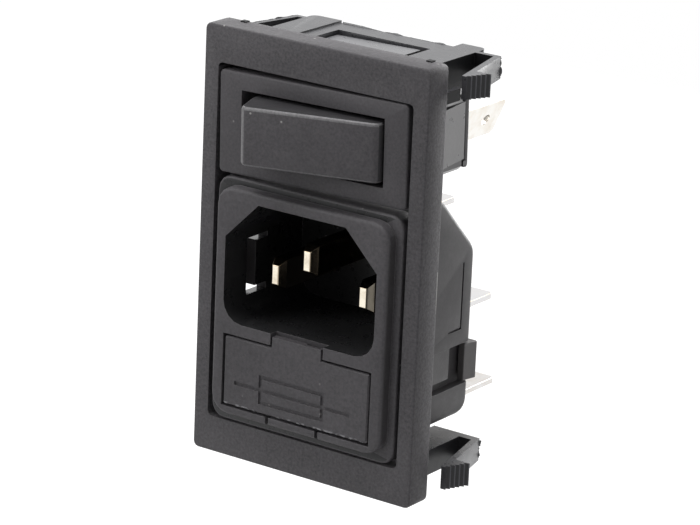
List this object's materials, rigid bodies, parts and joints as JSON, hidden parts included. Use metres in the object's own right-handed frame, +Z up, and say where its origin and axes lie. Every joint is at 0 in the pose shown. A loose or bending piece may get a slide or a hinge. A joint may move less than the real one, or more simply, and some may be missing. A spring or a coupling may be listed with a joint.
{
  "type": "power entry module",
  "caption": "Snap-in ac power entry module: rocker switch above a fused C14 inlet with a pull-out fuse drawer, in a rectangular bezel with rear snap arms and tabs.",
  "frame": {"origin": "centre of the bezel in the plane of its back face, which rests on the panel", "axes": "-Y out of the front, +Y through the panel to the rear tabs, +Z up, +X to the right seen from the front"},
  "size_m": [0.0418, 0.034, 0.0581],
  "materials": {
    "black_plastic": "fine matte moulded",
    "plated_brass": "nickel plated, satin",
    "brass": "plain",
    "silver_contact": "satin",
    "spring_steel": "plain",
    "fuse_glass": "clear",
    "fuse_wire": "plain"
  },
  "bodies": {
    "module": {"carrier_frame": "black_plastic", "switch_housing": "black_plastic", "switch_base": "black_plastic", "fixed_contact": "silver_contact", "common_terminal": "plated_brass", "live_terminal": "plated_brass", "inlet_housing": "black_plastic", "inlet_cover": "black_plastic", "earth_pin": "plated_brass", "neutral_pin": "plated_brass", "line_pin": "plated_brass", "line_fuse_clip": "plated_brass", "load_fuse_clip": "plated_brass"},
    "rocker_body": {"rocker": "black_plastic"},
    "plunger_body": {"rocker_plunger": "brass", "plunger_spring": "spring_steel"},
    "lever_body": {"contact_lever": "brass", "moving_contact": "silver_contact"},
    "drawer_body": {"fuse_drawer": "black_plastic", "fuse_tube": "fuse_glass", "fuse_cap_line": "plated_brass", "fuse_cap_load": "plated_brass", "fuse_wire": "fuse_wire", "spare_fuse_tube": "fuse_glass", "spare_fuse_cap_line": "plated_brass", "spare_fuse_cap_load": "plated_brass", "spare_fuse_wire": "fuse_wire"}
  },
  "joints": [
    {"name": "rocker_swing", "type": "hinge", "parent": "module", "child": "rocker_body", "pos_m": [-0.0001, 0.0004, 0.01678], "axis": [-0.0227, 0, 0.9997], "range_deg": [-25, 0]},
    {"name": "plunger_slide", "type": "slide", "parent": "rocker_body", "child": "plunger_body", "axis": [0.2164, -0.9763, 0.0049], "range_m": [0, 0.0012], "stiffness_N_per_m": 100, "deforming": ["plunger_spring"]},
    {"name": "lever_rock", "type": "hinge", "parent": "module", "child": "lever_body", "pos_m": [-0.0001, 0.00625, 0.01678], "axis": [-0.0227, 0, 0.9997], "range_deg": [0, 16]},
    {"name": "drawer_slide", "type": "slide", "parent": "module", "child": "drawer_body", "axis": [0, -1, 0], "range_m": [0, 0.013]}
  ],
  "couplings": [
    {"joint": "lever_rock", "follows": "rocker_swing", "ratio": -0.64}
  ]
}
